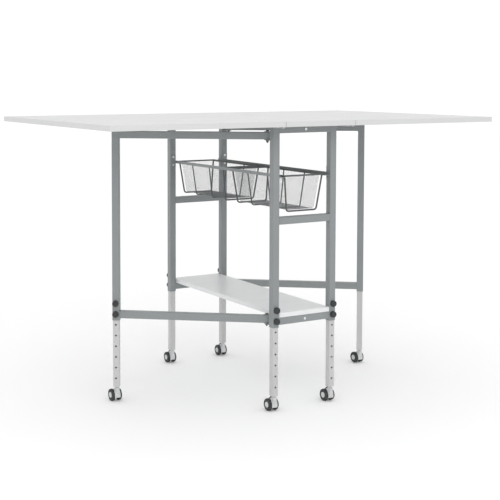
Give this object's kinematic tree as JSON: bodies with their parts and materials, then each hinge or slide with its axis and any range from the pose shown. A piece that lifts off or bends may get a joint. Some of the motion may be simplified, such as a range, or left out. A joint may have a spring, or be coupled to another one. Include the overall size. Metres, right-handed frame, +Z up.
{
  "type": "sewing table",
  "caption": "Folding cutting and sewing table: white drop-leaf top on a grey tube frame with swing-out gate legs, mesh baskets, a shelf, telescoping legs and casters.",
  "frame": {"origin": "on the floor, under the middle of the opened top", "axes": "+X along the length of the opened top, +Y across it from the near end frame to the far one, +Z up"},
  "size_m": [1.556, 0.94, 0.997],
  "materials": {
    "white_laminate": "satin white laminate",
    "shelf_laminate": "satin white laminate",
    "grey_paint": "satin grey paint",
    "inner_tube_paint": "satin light grey paint",
    "knob_plastic": "moulded",
    "caster_plastic": "moulded",
    "tyre_rubber": "matt",
    "zinc_steel": "zinc plated",
    "black_steel": "black oxide",
    "hinge_steel": "plated",
    "mesh_paint": "satin silver paint",
    "wire_paint": "satin grey paint"
  },
  "bodies": {
    "frame": {"centre_panel": "white_laminate", "frame_leg_tubes": "grey_paint", "cross_bars": "grey_paint", "storage_shelf": "shelf_laminate", "basket_rails": "grey_paint", "rail_and_board_screws": "zinc_steel", "centre_hinge_plates": "hinge_steel", "leaf_hinge_pins": "zinc_steel", "gate_hinge_brackets": "grey_paint", "gate_hinge_bolts": "black_steel", "mounting_angles": "grey_paint", "frame_bolts": "zinc_steel"},
    "left_leaf": {"left_leaf": "white_laminate", "left_hinge_plates": "hinge_steel"},
    "right_leaf": {"right_leaf": "white_laminate", "right_hinge_plates": "hinge_steel"},
    "left_gate": {"left_gate_leg": "grey_paint", "left_gate_bars": "grey_paint", "left_gate_cap": "knob_plastic"},
    "right_gate": {"right_gate_leg": "grey_paint", "right_gate_bars": "grey_paint", "right_gate_cap": "knob_plastic"},
    "near_basket": {"near_basket_frame": "wire_paint", "near_basket_mesh": "mesh_paint"},
    "far_basket": {"far_basket_frame": "wire_paint", "far_basket_mesh": "mesh_paint"},
    "near_left_extension": {"near_left_extension": "inner_tube_paint"},
    "near_left_lower_knob": {"near_left_lower_knob": "knob_plastic"},
    "near_left_upper_knob": {"near_left_upper_knob": "knob_plastic"},
    "near_left_caster": {"near_left_caster_body": "caster_plastic"},
    "near_left_wheels": {"near_left_caster_wheels": "tyre_rubber"},
    "near_left_brake": {"near_left_caster_brake": "knob_plastic"},
    "near_right_extension": {"near_right_extension": "inner_tube_paint"},
    "near_right_lower_knob": {"near_right_lower_knob": "knob_plastic"},
    "near_right_upper_knob": {"near_right_upper_knob": "knob_plastic"},
    "near_right_caster": {"near_right_caster_body": "caster_plastic"},
    "near_right_wheels": {"near_right_caster_wheels": "tyre_rubber"},
    "near_right_brake": {"near_right_caster_brake": "knob_plastic"},
    "far_left_extension": {"far_left_extension": "inner_tube_paint"},
    "far_left_lower_knob": {"far_left_lower_knob": "knob_plastic"},
    "far_left_upper_knob": {"far_left_upper_knob": "knob_plastic"},
    "far_left_caster": {"far_left_caster_body": "caster_plastic"},
    "far_left_wheels": {"far_left_caster_wheels": "tyre_rubber"},
    "far_left_brake": {"far_left_caster_brake": "knob_plastic"},
    "far_right_extension": {"far_right_extension": "inner_tube_paint"},
    "far_right_lower_knob": {"far_right_lower_knob": "knob_plastic"},
    "far_right_upper_knob": {"far_right_upper_knob": "knob_plastic"},
    "far_right_caster": {"far_right_caster_body": "caster_plastic"},
    "far_right_wheels": {"far_right_caster_wheels": "tyre_rubber"},
    "far_right_brake": {"far_right_caster_brake": "knob_plastic"},
    "left_gate_extension": {"left_gate_extension": "inner_tube_paint"},
    "left_gate_lower_knob": {"left_gate_lower_knob": "knob_plastic"},
    "left_gate_upper_knob": {"left_gate_upper_knob": "knob_plastic"},
    "left_gate_caster": {"left_gate_caster_body": "caster_plastic"},
    "left_gate_wheels": {"left_gate_caster_wheels": "tyre_rubber"},
    "right_gate_extension": {"right_gate_extension": "inner_tube_paint"},
    "right_gate_lower_knob": {"right_gate_lower_knob": "knob_plastic"},
    "right_gate_upper_knob": {"right_gate_upper_knob": "knob_plastic"},
    "right_gate_caster": {"right_gate_caster_body": "caster_plastic"},
    "right_gate_wheels": {"right_gate_caster_wheels": "tyre_rubber"}
  },
  "joints": [
    {"name": "left_leaf_lift", "type": "hinge", "parent": "frame", "child": "left_leaf", "pos_m": [-0.143, 0, 0.976], "axis": [0, 1, 0], "range_deg": [0, 4]},
    {"name": "right_leaf_lift", "type": "hinge", "parent": "frame", "child": "right_leaf", "pos_m": [0.143, 0, 0.976], "axis": [0, -1, 0], "range_deg": [0, 4]},
    {"name": "left_gate_swing", "type": "hinge", "parent": "frame", "child": "left_gate", "pos_m": [-0.1187, -0.322, 0.64], "axis": [0, 0, 1], "range_deg": [-52.09, 37.91]},
    {"name": "right_gate_swing", "type": "hinge", "parent": "frame", "child": "right_gate", "pos_m": [0.1187, 0.322, 0.64], "axis": [0, 0, 1], "range_deg": [-52.09, 37.91]},
    {"name": "near_basket_slide", "type": "slide", "parent": "frame", "child": "near_basket", "axis": [0, -1, 0], "range_m": [0, 0.24]},
    {"name": "far_basket_slide", "type": "slide", "parent": "frame", "child": "far_basket", "axis": [0, 1, 0], "range_m": [0, 0.24]},
    {"name": "near_left_height", "type": "slide", "parent": "frame", "child": "near_left_extension", "axis": [0, 0, 1], "range_m": [0, 0.2286]},
    {"name": "near_left_lower_knob_turn", "type": "hinge", "parent": "frame", "child": "near_left_lower_knob", "pos_m": [-0.1187, -0.3867, 0.3132], "axis": [0, -1, 0], "continuous": true},
    {"name": "near_left_upper_knob_turn", "type": "hinge", "parent": "frame", "child": "near_left_upper_knob", "pos_m": [-0.1187, -0.3867, 0.3513], "axis": [0, -1, 0], "continuous": true},
    {"name": "near_left_caster_swivel", "type": "hinge", "parent": "near_left_extension", "child": "near_left_caster", "pos_m": [-0.1187, -0.3667, 0.055], "axis": [0, 0, 1], "continuous": true},
    {"name": "near_left_wheels_roll", "type": "hinge", "parent": "near_left_caster", "child": "near_left_wheels", "pos_m": [-0.1187, -0.3522, 0.021], "axis": [1, 0, 0], "continuous": true},
    {"name": "near_left_brake_lift", "type": "hinge", "parent": "near_left_caster", "child": "near_left_brake", "pos_m": [-0.1187, -0.3582, 0.0406], "axis": [1, 0, 0], "range_deg": [0, 12]},
    {"name": "near_right_height", "type": "slide", "parent": "frame", "child": "near_right_extension", "axis": [0, 0, 1], "range_m": [0, 0.2286]},
    {"name": "near_right_lower_knob_turn", "type": "hinge", "parent": "frame", "child": "near_right_lower_knob", "pos_m": [0.1187, -0.3867, 0.3132], "axis": [0, -1, 0], "continuous": true},
    {"name": "near_right_upper_knob_turn", "type": "hinge", "parent": "frame", "child": "near_right_upper_knob", "pos_m": [0.1187, -0.3867, 0.3513], "axis": [0, -1, 0], "continuous": true},
    {"name": "near_right_caster_swivel", "type": "hinge", "parent": "near_right_extension", "child": "near_right_caster", "pos_m": [0.1187, -0.3667, 0.055], "axis": [0, 0, 1], "continuous": true},
    {"name": "near_right_wheels_roll", "type": "hinge", "parent": "near_right_caster", "child": "near_right_wheels", "pos_m": [0.1187, -0.3522, 0.021], "axis": [1, 0, 0], "continuous": true},
    {"name": "near_right_brake_lift", "type": "hinge", "parent": "near_right_caster", "child": "near_right_brake", "pos_m": [0.1187, -0.3582, 0.0406], "axis": [1, 0, 0], "range_deg": [0, 12]},
    {"name": "far_left_height", "type": "slide", "parent": "frame", "child": "far_left_extension", "axis": [0, 0, 1], "range_m": [0, 0.2286]},
    {"name": "far_left_lower_knob_turn", "type": "hinge", "parent": "frame", "child": "far_left_lower_knob", "pos_m": [-0.1187, 0.3867, 0.3132], "axis": [0, 1, 0], "continuous": true},
    {"name": "far_left_upper_knob_turn", "type": "hinge", "parent": "frame", "child": "far_left_upper_knob", "pos_m": [-0.1187, 0.3867, 0.3513], "axis": [0, 1, 0], "continuous": true},
    {"name": "far_left_caster_swivel", "type": "hinge", "parent": "far_left_extension", "child": "far_left_caster", "pos_m": [-0.1187, 0.3667, 0.055], "axis": [0, 0, 1], "continuous": true},
    {"name": "far_left_wheels_roll", "type": "hinge", "parent": "far_left_caster", "child": "far_left_wheels", "pos_m": [-0.1187, 0.3812, 0.021], "axis": [1, 0, 0], "continuous": true},
    {"name": "far_left_brake_lift", "type": "hinge", "parent": "far_left_caster", "child": "far_left_brake", "pos_m": [-0.1187, 0.3752, 0.0406], "axis": [1, 0, 0], "range_deg": [0, 12]},
    {"name": "far_right_height", "type": "slide", "parent": "frame", "child": "far_right_extension", "axis": [0, 0, 1], "range_m": [0, 0.2286]},
    {"name": "far_right_lower_knob_turn", "type": "hinge", "parent": "frame", "child": "far_right_lower_knob", "pos_m": [0.1187, 0.3867, 0.3132], "axis": [0, 1, 0], "continuous": true},
    {"name": "far_right_upper_knob_turn", "type": "hinge", "parent": "frame", "child": "far_right_upper_knob", "pos_m": [0.1187, 0.3867, 0.3513], "axis": [0, 1, 0], "continuous": true},
    {"name": "far_right_caster_swivel", "type": "hinge", "parent": "far_right_extension", "child": "far_right_caster", "pos_m": [0.1187, 0.3667, 0.055], "axis": [0, 0, 1], "continuous": true},
    {"name": "far_right_wheels_roll", "type": "hinge", "parent": "far_right_caster", "child": "far_right_wheels", "pos_m": [0.1187, 0.3812, 0.021], "axis": [1, 0, 0], "continuous": true},
    {"name": "far_right_brake_lift", "type": "hinge", "parent": "far_right_caster", "child": "far_right_brake", "pos_m": [0.1187, 0.3752, 0.0406], "axis": [1, 0, 0], "range_deg": [0, 12]},
    {"name": "left_gate_height", "type": "slide", "parent": "left_gate", "child": "left_gate_extension", "axis": [0, 0, 1], "range_m": [0, 0.2286]},
    {"name": "left_gate_lower_knob_turn", "type": "hinge", "parent": "left_gate", "child": "left_gate_lower_knob", "pos_m": [-0.54829, -0.01278, 0.3132], "axis": [-0.6145, -0.789, 0], "continuous": true},
    {"name": "left_gate_upper_knob_turn", "type": "hinge", "parent": "left_gate", "child": "left_gate_upper_knob", "pos_m": [-0.54829, -0.01278, 0.3513], "axis": [-0.6145, -0.789, 0], "continuous": true},
    {"name": "left_gate_caster_swivel", "type": "hinge", "parent": "left_gate_extension", "child": "left_gate_caster", "pos_m": [-0.536, 0.003, 0.055], "axis": [0, 0, 1], "continuous": true},
    {"name": "left_gate_wheels_roll", "type": "hinge", "parent": "left_gate_caster", "child": "left_gate_wheels", "pos_m": [-0.536, 0.0175, 0.021], "axis": [1, 0, 0], "continuous": true},
    {"name": "right_gate_height", "type": "slide", "parent": "right_gate", "child": "right_gate_extension", "axis": [0, 0, 1], "range_m": [0, 0.2286]},
    {"name": "right_gate_lower_knob_turn", "type": "hinge", "parent": "right_gate", "child": "right_gate_lower_knob", "pos_m": [0.54829, 0.01278, 0.3132], "axis": [0.6145, 0.789, 0], "continuous": true},
    {"name": "right_gate_upper_knob_turn", "type": "hinge", "parent": "right_gate", "child": "right_gate_upper_knob", "pos_m": [0.54829, 0.01278, 0.3513], "axis": [0.6145, 0.789, 0], "continuous": true},
    {"name": "right_gate_caster_swivel", "type": "hinge", "parent": "right_gate_extension", "child": "right_gate_caster", "pos_m": [0.536, -0.003, 0.055], "axis": [0, 0, 1], "continuous": true},
    {"name": "right_gate_wheels_roll", "type": "hinge", "parent": "right_gate_caster", "child": "right_gate_wheels", "pos_m": [0.536, 0.0115, 0.021], "axis": [1, 0, 0], "continuous": true}
  ],
  "couplings": [
    {"joint": "near_right_height", "follows": "near_left_height", "ratio": 1},
    {"joint": "far_left_height", "follows": "near_left_height", "ratio": 1},
    {"joint": "far_right_height", "follows": "near_left_height", "ratio": 1},
    {"joint": "left_gate_height", "follows": "near_left_height", "ratio": 1},
    {"joint": "right_gate_height", "follows": "near_left_height", "ratio": 1}
  ]
}
